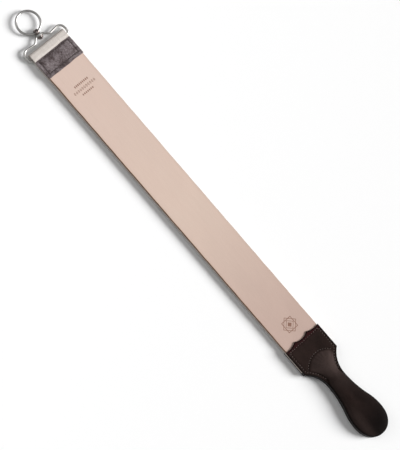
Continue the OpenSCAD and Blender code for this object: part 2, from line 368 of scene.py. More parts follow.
# The star's middle and the reach of its points
STAR_D, STAR_R = 450.4, 10.0


def strop_marks(p):
    """Printed ornament: rows of lozenges near the patch, and an eight-pointed star near the handle."""
    d, y, _ = p.axes()
    total = None
    # middle of the row, half its width, half a lozenge's length, pitch, inner edge of its outline
    rows = (
        (101.9, 9.99, 1.9, 2.22, 0.0),
        (107.9, 15.39, 2.1, 2.8, 0.5),
        (113.7, 8.09, 1.6, 2.314, 0.0),
    )
    for middle, half, long, pitch, hollow in rows:
        cell = p.math("SUBTRACT", p.math("FRACT", p.math("ADD", p.math("DIVIDE", y, pitch), 40.5)), 0.5)
        along, across = p.math("SUBTRACT", d, middle), p.times(cell, pitch)
        size = lozenge(p, along, across, long, pitch * 0.42)
        mark = within(p, size, 0.95, 0.12)
        if hollow:
            mark = p.math("SUBTRACT", mark, within(p, size, hollow, 0.12))
        inside = p.math("LESS_THAN", p.math("ABSOLUTE", y), half)
        mark = p.times(mark, inside)
        total = mark if total is None else p.math("MAXIMUM", total, mark)
    x = p.math("SUBTRACT", d, STAR_D)
    diamond = lozenge(p, x, y, STAR_R, STAR_R)
    from_middle = p.math("MAXIMUM", p.math("ABSOLUTE", x), p.math("ABSOLUTE", y))
    square = p.math("DIVIDE", from_middle, STAR_R * 0.7)
    # shape, its size as a share of the star's, and the width of its line
    outlines = ((diamond, 0.98, 0.09), (square, 0.98, 0.11), (diamond, 0.6, 0.09), (diamond, 0.3, 0.3))
    for shape, outer, thick in outlines:
        line = p.math("SUBTRACT", within(p, shape, outer, 0.02), within(p, shape, outer - thick, 0.02))
        total = p.math("MAXIMUM", total, p.math("MAXIMUM", line, 0.0))
    return total


def strop_leather():
    """Smooth pale vegetable-tanned leather with a burnished brown cut edge."""
    p = Paint("strop_leather", rough=0.62, specular=0.16)
    d, y, z = p.axes()
    # a little darker towards the handle
    middle = p.spread(d, 70.0, 300.0)
    far = p.spread(d, 260.0, 480.0)
    base = p.mix(middle, LEATHER["near ring"], LEATHER["middle"])
    base = p.mix(far, base, LEATHER["near handle"])
    cloud = p.spread(p.noise(26.0, (0.35, 1, 1)), 0.3, 0.7)
    base = p.mix(p.times(cloud, 0.22), base, LEATHER["cloud"])
    streaks = p.spread(p.noise(1.6, (0.03, 1, 1), detail=4), 0.35, 0.7)
    base = p.mix(p.times(streaks, 0.04), base, LEATHER["dark"])
    pores = p.cells(0.55)
    # painted shade in the pores
    pore = p.spread(pores, 0.05, 0.3, 1.0, 0.0)
    base = p.mix(p.times(pore, 0.1), base, LEATHER["dark"])
    side = p.math("ABSOLUTE", y)
    rubbed = p.spread(side, LEATHER_HALF - 3.5, LEATHER_HALF - 0.2)
    base = p.mix(p.times(rubbed, 0.16), base, LEATHER["dark"])
    marks = strop_marks(p)
    worn = p.spread(p.noise(0.9), 0.25, 0.6, 0.7, 1.0)
    top = p.math("GREATER_THAN", z, LEATHER_TOP - 0.3)
    printed = p.times(p.times(marks, worn), top)
    base = p.mix(printed, base, LEATHER["print"])
    edge = p.spread(side, LEATHER_HALF - 0.55, LEATHER_HALF - 0.3)
    fibres = p.spread(p.noise(0.5, (0.15, 1, 1.6), detail=4), 0.3, 0.7)
    cut = p.mix(fibres, LEATHER["cut"], LEATHER["cut fibres"])
    base = p.mix(edge, base, cut)
    rough = p.spread(p.noise(3.0), 0.3, 0.7, 0.6, 0.68)
    fine, broad = p.noise(0.45, detail=5), p.noise(9.0, (0.4, 1, 1))
    p.bumps((fine, 0.05), (pores, 0.03), (marks, -0.06), (broad, 0.12))
    return p.finish(base, rough)


# Even, and large enough to keep counts above 0
FAR_COUNT = 4000.0
# How round a yarn is: lower is flatter
YARN_ROUND = 0.6


def weave(p, along, across):
    """Height of a plain weave, 0 to 1, from places along and across the cloth."""
    u = p.math("DIVIDE", along, WEFT)
    v = p.math("DIVIDE", across, WARP)
    square = p.math("ADD", p.math("FLOOR", u), p.math("ADD", p.math("FLOOR", v), FAR_COUNT))
    odd = p.math("MODULO", square, 2.0)
    high_u = p.math("ABSOLUTE", p.math("SINE", p.times(u, math.pi)))
    high_v = p.math("ABSOLUTE", p.math("SINE", p.times(v, math.pi)))

    def yarn(across_it, along_it):
        """Height of a yarn that lies on top."""
        length = p.math("MULTIPLY_ADD", along_it, 0.5, 0.5)
        return p.times(p.math("POWER", across_it, YARN_ROUND), length)

    over_weft, over_warp = yarn(high_v, high_u), yarn(high_u, high_v)
    return p.math("MULTIPLY_ADD", odd, p.math("SUBTRACT", over_weft, over_warp), over_warp)


def linen():
    """Natural linen webbing in plain weave; the yarns follow the cloth round its fold."""
    p = Paint("linen_webbing", rough=0.85, specular=0.2)
    along, across, _ = p.axes()
    height = weave(p, along, across)
    yarn = p.spread(p.noise(3.0, (0.15, 1.4, 1)), 0.3, 0.7)
    slub = p.spread(p.noise(2.2, (1.6, 0.12, 1)), 0.35, 0.75)
    base = p.mix(yarn, LINEN["yarn"], LINEN["pale yarn"])
    base = p.mix(p.times(slub, 0.35), base, LINEN["slub"])
    # painted shade in the hollows between the yarns
    base = p.mix(p.spread(height, 0.1, 0.75, 0.55, 0.0), base, LINEN["gap"])
    fluff = p.noise(0.25, detail=4)
    p.shader.inputs["Sheen Weight"].default_value = 0.15
    p.bumps((height, 0.16), (fluff, 0.05))
    return p.finish(base)


def suede():
    """Mottled dark suede, with painted shade along its sunk stitched rows."""
    p = Paint("patch_suede", rough=0.9, specular=0.2)
    big = p.spread(p.noise(10.0, detail=5, rough=0.7, bend=0.15), 0.4, 0.62)
    small = p.spread(p.noise(3.0, detail=5, rough=0.75), 0.42, 0.6)
    base = p.mix(big, SUEDE["dark"], SUEDE["pale"])
    base = p.mix(p.times(small, 0.55), base, SUEDE["grey"])
    fine = p.spread(p.noise(1.3, detail=5, rough=0.75), 0.42, 0.6)
    base = p.mix(p.times(fine, 0.6), base, SUEDE["dark"])
    # painted shade along the stitched rows, where the seams pull the suede in
    near_seam = p.spread(p.rim(), 0.2, 0.9, 1.0, 0.0)
    sunk = p.times(near_seam, p.spread(p.noise(2.6), 0.3, 0.6, 0.3, 0.9))
    base = p.mix(sunk, base, SUEDE["seam"])
    p.shader.inputs["Sheen Weight"].default_value = 0.25
    p.shader.inputs["Sheen Roughness"].default_value = 0.5
    p.bumps((p.noise(1.3, detail=4), 0.25), (p.noise(0.3, detail=4), 0.12))
    return p.finish(base)


def handle_leather():
    """Dark brown pebbled cover leather: black at its edges and round end, redder at the scallops, with
    painted light on its padding's rise and on one side of the grip, and painted shade on the grip's
    other side and in the creases of its grain.
    """
    p = Paint("handle_leather", rough=0.6, specular=0.04)
    d, y, z = p.axes()
    rim = p.rim()
    cloud = p.spread(p.noise(14.0, (0.6, 1, 1)), 0.3, 0.7)
    base = p.mix(cloud, HANDLE["brown"], HANDLE["dark brown"])
    # painted light: the padding's rise from the curved seam turns away from the sun, so it is painted
    # paler
    raised = p.spread(z, FLANGE_TOP - 0.1, FLANGE_TOP + 1.4)
    painted_light = p.times(raised, p.spread(d, HANDLE_D + 87, HANDLE_D + 32, 0.0, 0.95))
    base = p.mix(painted_light, base, HANDLE["painted_light"])
    base = p.mix(p.spread(d, HANDLE_D + 87, HANDLE_D + 133, 0.0, 0.85), base, HANDLE["black"])
    # painted shade on the grip's +y side, which faces the sun, and painted light on its -y side, which
    # turns from it, so that the grip looks evenly lit
    on_grip = p.spread(d, HANDLE_D + 44, HANDLE_D + 64)
    painted_grip_shade = p.times(on_grip, p.spread(y, -16.0, 16.0, 0.0, 0.48))
    base = p.mix(painted_grip_shade, base, HANDLE["black"])
    on_grip = p.spread(d, HANDLE_D + 34, HANDLE_D + 59)
    painted_grip_light = p.times(on_grip, p.spread(y, -4.0, -17.0, 0.0, 0.7))
    base = p.mix(painted_grip_light, base, HANDLE["painted_light"])
    scallops = p.spread(d, HANDLE_D + 5.5, HANDLE_D + 0.5)
    red = p.times(scallops, p.spread(p.noise(5.0), 0.3, 0.6, 0.35, 1.0))
    base = p.mix(red, base, HANDLE["red"])
    creases = p.cells(0.9, feature="DISTANCE_TO_EDGE")
    # painted shade in the creases of the pebbled grain
    painted_crease_shade = p.spread(creases, 0.0, 0.12, 1.0, 0.0)
    base = p.mix(p.times(painted_crease_shade, 0.35), base, HANDLE["black"])
    from_edge = p.math("ADD", rim, p.times(p.noise(2.0), 0.5))
    dark = p.spread(from_edge, 0.5, 2.2, 1.0, 0.0)
    base = p.mix(p.times(dark, 0.8), base, HANDLE["black"])
    rough = p.spread(p.noise(4.0), 0.3, 0.7, 0.64, 0.72)
    smoothed = p.spread(creases, 0.0, 0.2)
    p.bumps((p.noise(6.0, detail=2), 0.15), (smoothed, 0.07), (p.noise(0.25, detail=4), 0.03))
    return p.finish(base, rough)


def plain_edge(name, first, second, size, depth, rough):
    """Fibrous cut board or felt."""
    p = Paint(name, rough=rough, specular=0.25)
    fibres = p.noise(size, (0.25, 1, 1.5), detail=5)
    base = p.mix(p.spread(fibres, 0.3, 0.7), colour(*first), colour(*second))
    p.bumps((fibres, depth))
    return p.finish(base)


def thread(name, first, second):
    """Waxed twisted thread."""
    p = Paint(name, rough=0.55, specular=0.4)
    d, y, z = p.axes()
    slant = p.math("ADD", p.math("ADD", d, y), p.times(z, 1.5))
    twist = p.math("SINE", p.times(slant, 9.0))
    strand = p.spread(twist, -1.0, 0.4)
    patchy = p.spread(p.noise(3.5), 0.3, 0.7)
    base = p.mix(patchy, colour(*first), colour(*second))
    # painted shade in the grooves between the twisted strands
    base = p.mix(p.times(p.math("SUBTRACT", 1.0, strand), 0.4), base, colour(30, 25, 24))
    p.bumps((strand, 0.08))
    return p.finish(base)


def nickel(name, base_colour, dull, rough_low, rough_high):
    """Plated wire with fine scratches and a few dull spots."""
    p = Paint(name, rough=rough_low, metal=1.0)
    spots = p.spread(p.noise(2.4, detail=4, rough=0.6), 0.52, 0.72)
    base = p.mix(p.times(spots, 0.45), colour(*base_colour), colour(*dull))
    scratches = p.noise(0.7, (0.2, 1, 1), detail=5)
    rough = p.spread(scratches, 0.3, 0.75, rough_low, rough_high)
    p.bumps((scratches, 0.012), (p.noise(3.0, detail=2), 0.02))
    return p.finish(base, rough)


# Base colours, 0 to 255 sRGB
LEATHER = {
    "near ring": (213, 190, 178),
    "middle": (214, 192, 178),
    "near handle": (191, 166, 155),
    "cloud": (216, 189, 175),
    "dark": (172, 142, 126),
    "print": (134, 99, 83),
    "cut": (126, 92, 74),
    "cut fibres": (172, 138, 116),
}
LINEN = {
    "yarn": (212, 204, 198),
    "pale yarn": (221, 214, 208),
    "slub": (200, 190, 180),
    # gap is painted shade, for the hollows between the yarns
    "gap": (168, 158, 149),
}
# seam is painted shade, for the suede's stitched rows
SUEDE = {"dark": (68, 56, 56), "pale": (146, 136, 138), "grey": (114, 103, 105), "seam": (44, 34, 34)}
HANDLE = {
    "brown": (45, 33, 30),
    "dark brown": (36, 26, 23),
    # painted light, for the padding's rise and for one side of the grip
    "painted_light": (68, 56, 53),
    "red": (50, 15, 18),
    "black": (7, 4, 4),
}
for table in (LEATHER, LINEN, SUEDE, HANDLE):
    table.update({name: colour(*rgb) for name, rgb in table.items()})

LEATHER_MAT = strop_leather()
LINEN_MAT = linen()
SUEDE_MAT = suede()
HANDLE_MAT = handle_leather()
BOARD_MAT = plain_edge("stiffener_board", (18, 14, 13), (32, 25, 22), 0.6, 0.08, 0.5)
FELT_MAT = plain_edge("felt_pad", (176, 170, 160), (206, 201, 192), 1.2, 0.3, 0.95)
PATCH_THREAD_MAT = thread("patch_thread", (58, 47, 46), (84, 72, 71))
HANDLE_THREAD_MAT = thread("handle_thread", (74, 63, 59), (124, 110, 104))
RING_MAT = nickel("nickel_ring", (184, 182, 180), (140, 136, 132), 0.28, 0.42)
BAIL_MAT = nickel("nickel_bail", (196, 194, 191), (150, 146, 142), 0.32, 0.46)
SWIVEL_MAT = nickel("nickel_swivel", (150, 140, 137), (72, 62, 60), 0.16, 0.32)


def dress(piece, material):
    piece.data.materials.append(material)
    return piece


# -------- straps
# Ends of each strap's pieces, from the handle on; there is a hinge midway between two
PIECE_END_D = [468.0 - 65.05 * k for k in range(7)]
# How far the straps run into the handle
STRAP_IN_HANDLE = 28.0


def columns(half, r, step):
    """Places across a strap, closer together on its rounded edges."""
    inner = np.arange(0, half - r, step)
    bend = half - r + r * np.sin(np.radians(np.linspace(0, 90, 7)))
    right = np.concatenate([inner, bend])
    return np.concatenate([-right[:0:-1], right])


def strap_piece(name, stations, half, z_low, z_high, r, step, wobble):
    """Strap from z_low up to z_high(d), with edges of radius r and columns that are step apart.
    wobble moves a face's points, and is also told whether it is the top one."""
    y = columns(half, r, step)
    dd, yy = np.meshgrid(stations, y, indexing="ij")
    drop = rounded(half - np.abs(yy), r)
    top = np.stack([dd, yy, z_high(dd) - drop], axis=2)
    low = np.stack([dd, yy, z_low + drop], axis=2)
    return slab(name, wobble(top, True), wobble(low, False), top.copy(), low.copy())


def leather_wobble(grid, top):
    """The strop's face is nearly flat, and its cut edges wander a little."""
    d, y = grid[..., 0], grid[..., 1]
    grid = grid.copy()
    if top:
        grid[..., 2] += 0.05 * wave(3, d, y, 40) * (1 - (y / (LEATHER_HALF + 2)) ** 2)
    grid[..., 1] += 0.12 * np.sign(y) * wave(5, d, y * 0, 30) * (np.abs(y) > LEATHER_HALF - 4)
    return grid


def linen_wobble(grid, _top=True):
    """The weft turns round the outermost warp yarn, which gives the selvedge its beads."""
    d, y = grid[..., 0], grid[..., 1]
    grid = grid.copy()
    side = np.clip(np.abs(y) - (LINEN_HALF - 1), 0, 1)
    grid[..., 1] -= np.sign(y) * side * 0.12 * (0.5 + 0.5 * np.cos(2 * math.pi * d / WEFT))
    return grid


def leather_face(d):
    """Height of the leather's face, which slopes down towards the hem."""
    return np.interp(d, [RISE_FROM, RISE_TO], [HEM_TOP + 0.06, LEATHER_TOP])


for k in range(6):
    start, end = PIECE_END_D[k], PIECE_END_D[k + 1]
    far = HANDLE_D + STRAP_IN_HANDLE if k == 0 else start
    cad = [k + 1] if k < 5 else [6, 7]

    # the last piece of leather runs on under the patch
    stations = np.linspace(HEM_D if k == 5 else end, far, 60)
    if k == 5:
        stations = np.sort(np.concatenate([stations, [60.6, RISE_TO]]))
    leather = strap_piece(
        f"leather_strap_part_{k + 1}",
        stations,
        LEATHER_HALF,
        AXIS_Z,
        leather_face,
        0.45,
        1.2,
        leather_wobble,
    )
    dress(leather, LEATHER_MAT)
    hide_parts(*[f"leather_strap_{n}" for n in cad])
    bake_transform(leather)

    stations = np.arange(0, far - end + 0.001, 0.46) + end
    stations[-1] = far
    webbing = strap_piece(
        f"linen_strap_part_{k + 1}",
        stations,
        LINEN_HALF,
        STRAP_LOW,
        lambda d: AXIS_Z,
        0.7,
        1.6,
        linen_wobble,
    )
    dress(webbing, LINEN_MAT)
    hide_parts(f"linen_strap_{k + 1}")
    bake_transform(webbing)


def fold_path():
    """Middle line of the webbing's end: under the leather, round the crossbar and on to the hem."""
    low, high = 2.8, 4.8
    # the two layers part between joined and parted; the fold's round end starts at turn
    joined, parted, turn = 55.8, 50.6, 46.3
    r, step = 2.45, 0.28
    down, up = AXIS_Z - r - low, AXIS_Z + r - high
    line = [(d, low) for d in np.arange(PIECE_END_D[6], joined, -step)]
    line += [(d, low + down * smooth(joined, parted, d)) for d in np.arange(joined, parted, -step)]
    line += [(d, AXIS_Z - r) for d in np.arange(parted, turn, -step)]
    for a in np.linspace(0, math.pi, 29)[:-1]:
        line.append((turn - r * math.sin(a), AXIS_Z - r * math.cos(a)))
    line += [(d, AXIS_Z + r) for d in np.arange(turn, parted, step)]
    line += [(d, high + up * (1 - smooth(parted, joined, d))) for d in np.arange(parted, joined, step)]
    line += [(d, high) for d in np.arange(joined, HEM_D + 0.01, step)]
    return np.array(line)


def plain_weave(along, across):
    """The same weave as the material's, as a height from 0 to 1."""
    u, v = along / WEFT, across / WARP
    odd = (np.floor(u) + np.floor(v) + FAR_COUNT) % 2
    high_u, high_v = np.abs(np.sin(u * math.pi)), np.abs(np.sin(v * math.pi))
    over_weft = high_v**YARN_ROUND * (0.5 + 0.5 * high_u)
    over_warp = high_u**YARN_ROUND * (0.5 + 0.5 * high_v)
    return np.where(odd > 0.5, over_weft, over_warp)


def linen_fold():
    """The webbing's end, with its yarns as real relief."""
    line = fold_path()
    along = np.gradient(line, axis=0)
    along /= np.linalg.norm(along, axis=1)[:, None]
    normal = np.stack([-along[:, 1], along[:, 0]], axis=1)
    run = np.concatenate([[0], np.cumsum(np.linalg.norm(np.diff(line, axis=0), axis=1))])
    y = columns(LINEN_HALF, 0.7, 0.26)
    relief, half_thick = 0.13, 1.0
    grids = {}
    for side in (-1, 1):
        ll, yy = np.meshgrid(PIECE_END_D[6] - run, y, indexing="ij")
        drop = rounded(LINEN_HALF - np.abs(yy), 0.7)
        ends = smooth(0, 4, run)[:, None]
        height = half_thick - drop - relief * (1 - plain_weave(ll + (side > 0) * WEFT, yy)) * ends
        dd = line[:, 0][:, None] + normal[:, 0][:, None] * side * height
        zz = line[:, 1][:, None] + normal[:, 1][:, None] * side * height
        grid = linen_wobble(np.stack([ll, yy, zz], axis=2))
        grids[side] = np.stack([dd, grid[..., 1], zz], axis=2), np.stack([ll, yy, zz], axis=2)
    return slab("linen_fold", grids[-1][0], grids[1][0], grids[-1][1], grids[1][1], sharp=75)


fold = dress(linen_fold(), LINEN_MAT)
outward(fold)
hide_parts("linen_strap_7")
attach(fold, "strap_end")


# -------- patch
PATCH_D, PATCH_L, PATCH_THICK = 54.0, 23.7, 1.0
# Its stitched rectangle: first row, length, half width, and stitches along each side
ROW_D, ROW_L, ROW_HALF = PATCH_D + 1.8, PATCH_L - 6.2, 7 * PITCH
SIDE_STITCHES = 6


def patch_base(d):
    """Height of what the patch lies on."""
    return np.interp(d, [RISE_FROM, RISE_TO], [HEM_TOP, LEATHER_TOP])


def patch_seam():
    """Holes of the stitched rectangle."""
    step = ROW_L / SIDE_STITCHES
    holes = [(ROW_D, PITCH * i) for i in range(-7, 8)]
    holes += [(ROW_D + i * step, ROW_HALF) for i in range(1, SIDE_STITCHES + 1)]
    holes += [(ROW_D + ROW_L, -PITCH * i) for i in range(-6, 8)]
    holes += [(ROW_D + i * step, -ROW_HALF) for i in range(SIDE_STITCHES - 1, -1, -1)]
    return holes


def suede_patch():
    """The patch, pulled in along its stitches, with a nap and hand-cut edges."""
    near_edge = [0, 0.06, 0.2, 0.4]
    inner = np.arange(0.7, PATCH_L - 0.6, 0.34)
    u = np.concatenate([near_edge, inner, PATCH_L - np.array(near_edge[::-1])])
    dd, yy = np.meshgrid(u + PATCH_D, columns(LINEN_HALF, 0.45, 0.42), indexing="ij")
    from_ends = np.minimum(dd - PATCH_D, PATCH_D + PATCH_L - dd)
    from_sides = LINEN_HALF - np.abs(yy)
    e = np.minimum(from_ends, from_sides)
    seam = line_distance(dd, yy, patch_seam())
    holes = hole_distance(dd, yy, patch_seam())
    nap = 0.06 * wave(11, dd, yy, 2.2) + 0.07 * wave(12, dd, yy, 7)
    sunk = 0.3 * np.exp(-((seam / 0.8) ** 2)) + 0.22 * np.exp(-((holes / 0.45) ** 2))
    base = patch_base(dd)
    top = base + PATCH_THICK - rounded(e, 0.42) + nap * smooth(0, 1.2, e) - sunk
    low = base + rounded(e, 0.2)
    # cut by hand, so its edges aren't quite straight
    shift_d = 0.3 * wave(21, dd * 0, yy, 16) * smooth(10, 0, from_ends)
    shift_y = 0.2 * (wave(22, dd, dd * 0, 12) - 0.6) * smooth(6, 0, from_sides) * np.sign(yy)
    moved = (dd + shift_d, yy + shift_y)
    return slab(
        "suede_patch_worn",
        np.stack([*moved, top], axis=2),
        np.stack([*moved, low], axis=2),
        rim=np.minimum(seam, 1.2),
    )


patch = dress(suede_patch(), SUEDE_MAT)
outward(patch)
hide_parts("suede_patch")
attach(patch, "strap_end")


# -------- stitches
def stitches(name, holes, top, under, radius, gap):
    """Thread from hole to hole, above and below. top and under give its height at a point, and gap
    is the share of a stitch that is left free at each hole."""
    points, faces, count = [], [], 0
    for height, sign in ((top, 1), (under, -1)):
        for a, b in zip(holes[:-1], holes[1:]):
            a = np.array(a) + [rng.uniform(-0.07, 0.07), rng.uniform(-0.07, 0.07)]
            b = np.array(b) + [rng.uniform(-0.07, 0.07), rng.uniform(-0.07, 0.07)]
            a, b = a + (b - a) * gap, b - (b - a) * gap
            t = np.linspace(0, 1, 9)
            line = a + (b - a) * t[:, None]
            rise = np.sin(math.pi * t) ** 0.5
            z = np.array([height(*p) for p in line]) + sign * radius * (1.15 * rise - 0.95)
            ring, quads = tube(np.column_stack([line, z]), radius * (0.62 + 0.38 * rise), 8)
            faces += [tuple(v + count for v in f) for f in quads]
            points.append(ring)
            count += len(ring)
    made = mesh_piece(name, np.concatenate(points), faces, sharp=60)
    outward(made)
    return made


sewn = stitches(
    "patch_stitches",
    patch_seam() + patch_seam()[:1],
    lambda d, y: float(patch_base(d)) + PATCH_THICK - 0.25,
    lambda d, y: STRAP_LOW,
    0.33,
    0.14,
)
dress(sewn, PATCH_THREAD_MAT)
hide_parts("patch_thread")
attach(sewn, "strap_end")


# -------- handle
HANDLE_L = 136.0
# Narrowest and widest places of the grip, with half widths there
NECK_S, NECK_HALF = 58.4, 11.5
BULB_S, BULB_HALF = 111.5, 19.5
SHOULDER_R = 33.0
# The neck's arc and the bulb's meet without a corner
TURN = 2 * math.atan((BULB_HALF - NECK_HALF) / (BULB_S - NECK_S))
RADII = (BULB_S - NECK_S) / math.sin(TURN)
NECK_R, BULB_R = 0.66 * RADII, 0.34 * RADII
CHANGE_S = NECK_S + NECK_R * math.sin(TURN)
# Power of the superellipse at the round end
END_POWER = 2.2
# The curved seam: its place nearest to the strap, its radius, and half its turn in degrees
ARC_S, ARC_R, ARC_TURN = 21.0, 22.5, 53
# The edge seam: its distance from the middle and from the scallops, and, on the shoulder, from the
# edge, with its last angle in degrees and its number of stitches
SEAM_Y, SEAM_S = 22.0, 2.8
SHOULDER_IN, SHOULDER_END, SHOULDER_STITCHES = 3.0, 12.0, 8
SEAM_ENDS = (51, 62)
# The padding: distance from the edge, from the edge beside the seam, and from the curved seam
PAD_IN, PAD_IN_SEAM, PAD_IN_ARC = 2.2, 3.9, 1.2
# Its height, the width of its rounding at the sides, and the length of its rise from the curved seam
PAD_H, PAD_ROUND, PAD_RISE = 5.6, 9.5, 20.0
# Share of that height that is crown
CROWN = 0.06
# Depth and places of the scallops' points and of the outer hollows
CUSP_DEPTH, CUSP_Y, HOLLOW_Y = 3.0, 9.0, 20.0
# Rows of points follow the scallops up to PLAIN_S, and draw closer from TIP_S
PLAIN_S, TIP_S = 12, 128


def round_end(s, half, end):
    """Half width at s of the grip's round end."""
    past = np.maximum(0, (s - BULB_S) / (end - BULB_S))
    return half * np.maximum(0, 1 - past**END_POWER) ** (1 / END_POWER)


def half_w(s):
    """Half of the handle's width at s."""
    s = np.asarray(s, float)
    to_neck = np.clip(NECK_S - s, 0, SHOULDER_R)
    shoulder = NECK_HALF + SHOULDER_R - np.sqrt(np.maximum(0, SHOULDER_R**2 - to_neck**2))
    neck = NECK_HALF + NECK_R - np.sqrt(NECK_R**2 - np.clip(s - NECK_S, 0, CHANGE_S - NECK_S) ** 2)
    bulb = BULB_HALF - BULB_R + np.sqrt(BULB_R**2 - np.clip(BULB_S - s, 0, BULB_S - CHANGE_S) ** 2)
    parts = [s < NECK_S, s < CHANGE_S, s < BULB_S]
    widths = [np.minimum(LINEN_HALF, shoulder), neck, bulb]
    return np.select(parts, widths, round_end(s, BULB_HALF, HANDLE_L))


def seam_inset(s, inset):
    """Distance of the padding from the edge: inset, or more where the seam runs beside it."""
    return PAD_IN_SEAM + (inset - PAD_IN_SEAM) * smooth(*SEAM_ENDS, s)


def pad_side(s, grow):
    """Half of the padding's width at s, sides only. grow makes it larger, for the cover over it."""
    to_neck = np.minimum(1, (NECK_S - s) / SHOULDER_R)
    slant = np.where(s < NECK_S, np.sqrt(np.maximum(0, 1 - to_neck**2)), 1)
    inset = seam_inset(s, PAD_IN) / np.maximum(0.3, slant)
    end = round_end(s, BULB_HALF - PAD_IN + grow, HANDLE_L - PAD_IN + grow)
    return np.where(s < BULB_S, half_w(s) - inset + grow, end)


def pad_half(s, grow):
    """Half of the padding's width at s, its curved front included."""
    r = ARC_R - PAD_IN_ARC + grow
    front = ARC_S + ARC_R - r
    arc = np.where(s < front + r, np.sqrt(np.maximum(0, r * r - np.maximum(0, front + r - s) ** 2)), r)
    side = pad_side(s, grow)
    return np.where(s < front + r * 0.7, np.minimum(arc, side), side)


def pad_z(s, y, grow):
    """Height over the board: steep at the sides, slow from the curved seam. grow adds the cover."""
    in_side = np.maximum(0, line_distance(s, y, outline()) - seam_inset(s, PAD_IN - grow))
    past = s - ARC_S - ARC_R
    out = np.hypot(y, np.minimum(0, past))
    in_front = np.maximum(0, ARC_R - PAD_IN_ARC + grow - out + np.maximum(0, past))
    q_side = np.maximum(0, 1 - in_side / (PAD_ROUND + grow))
    q_front = np.maximum(0, 1 - in_front / (PAD_RISE + grow))
    dome = np.sqrt(np.maximum(0, 1 - q_side**2)) * np.maximum(0, 1 - q_front**2) ** 1.3
    crown = 1 - CROWN + CROWN * (1 - np.clip(np.abs(y) / BULB_HALF, 0, 1) ** 2)
    return grow + PAD_H * dome * crown


def scallop(y):
    """s of the scalloped edge at y: three hollows that meet in two points."""
    def hollow(off, half):
        r = (half**2 + CUSP_DEPTH**2) / (2 * CUSP_DEPTH)
        return np.sqrt(np.maximum(0, r * r - off**2)) - r

    outer = hollow(np.abs(y) - HOLLOW_Y, HOLLOW_Y - CUSP_Y)
    return np.where(np.abs(y) < CUSP_Y, hollow(y, CUSP_Y), outer)


def handle_seam():
    """Holes of the seam that runs up one shoulder, across the scalloped edge and down the other."""
    seam_r = SHOULDER_R + SHOULDER_IN
    start = math.degrees(math.acos((NECK_HALF + SHOULDER_R - SEAM_Y) / seam_r))
    side_s = NECK_S - seam_r * math.sin(math.radians(start))
    count = round((side_s - SEAM_S) / PITCH)
    side = []
    for i in range(SHOULDER_STITCHES):
        a = math.radians(SHOULDER_END + (start - SHOULDER_END) * i / SHOULDER_STITCHES)
        side.append((NECK_S - seam_r * math.sin(a), NECK_HALF + SHOULDER_R - seam_r * math.cos(a)))
    side += [(side_s + (SEAM_S - side_s) * i / count, SEAM_Y) for i in range(count)]
    across = round(2 * SEAM_Y / PITCH)
    row = [(SEAM_S, SEAM_Y - 2 * SEAM_Y * i / across) for i in range(across + 1)]
    return side + row + [(s, -y) for s, y in reversed(side)]


def grip_seam():
    """Holes of the curved seam in front of the padding."""
    count = round(2 * math.radians(ARC_TURN) * ARC_R / PITCH)
    turns = np.radians(np.linspace(-ARC_TURN, ARC_TURN, count + 1))
    return [(ARC_S + ARC_R * (1 - math.cos(a)), ARC_R * math.sin(a)) for a in turns]


def outline():
    """The handle's outline as a line of points, from one side of the strap round to the other."""
    tip = BULB_S + (HANDLE_L - BULB_S) * np.sin(np.radians(np.linspace(-10, 90, 90)))
    s = np.concatenate([np.linspace(-4, 107, 223), tip])
    w = half_w(s)
    return np.concatenate([np.stack([s, w], axis=1), np.stack([s, -w], axis=1)[::-1]])


def handle_grid(from_s=None):
    """Points over the handle, closer together near its edges, and their distance from the edge.
    It starts at from_s, or at the scalloped edge."""
    t = np.sin(np.radians(np.linspace(-90, 90, 97)))
    near_edge = np.array([0, 0.05, 0.14, 0.28, 0.48])
    tip = TIP_S + (HANDLE_L - TIP_S - 0.002) * np.sin(np.radians(np.linspace(0, 90, 22)))
    if from_s is None:
        first = np.concatenate([near_edge, np.arange(0.8, PLAIN_S, 0.45)])[:, None]
        rest = np.concatenate([np.arange(PLAIN_S, TIP_S, 0.55), tip])
        front = first + scallop(t * LINEN_HALF)[None, :] * (1 - first / PLAIN_S)
        ss = np.concatenate([front, np.repeat(rest[:, None], len(t), axis=1)])
    else:
        s = np.concatenate([from_s + near_edge, np.arange(from_s + 0.9, TIP_S, 0.55), tip[1:]])
        ss = np.repeat(s[:, None], len(t), axis=1)
    yy = t[None, :] * half_w(ss)
    if from_s is None:
        y = np.linspace(-LINEN_HALF, LINEN_HALF, 201)
        from_front = line_distance(ss, yy, np.stack([scallop(y), y], axis=1))
    else:
        from_front = ss - from_s
    return ss, yy, np.minimum(line_distance(ss, yy, outline()), from_front)


def on_handle(ss, yy, z):
    """Grid of points (d, y, z) from places on the handle."""
    return np.stack([ss + HANDLE_D, yy, z], axis=2)


def near_seams(ss, yy, depth, width, hole):
    """How far the seams pull the leather in."""
    sunk = 0
    for seam in (handle_seam(), grip_seam()):
        sunk = sunk + depth * np.exp(-((line_distance(ss, yy, seam) / width) ** 2))
        sunk = sunk + hole * np.exp(-((hole_distance(ss, yy, seam) / 0.62) ** 2))
    return sunk


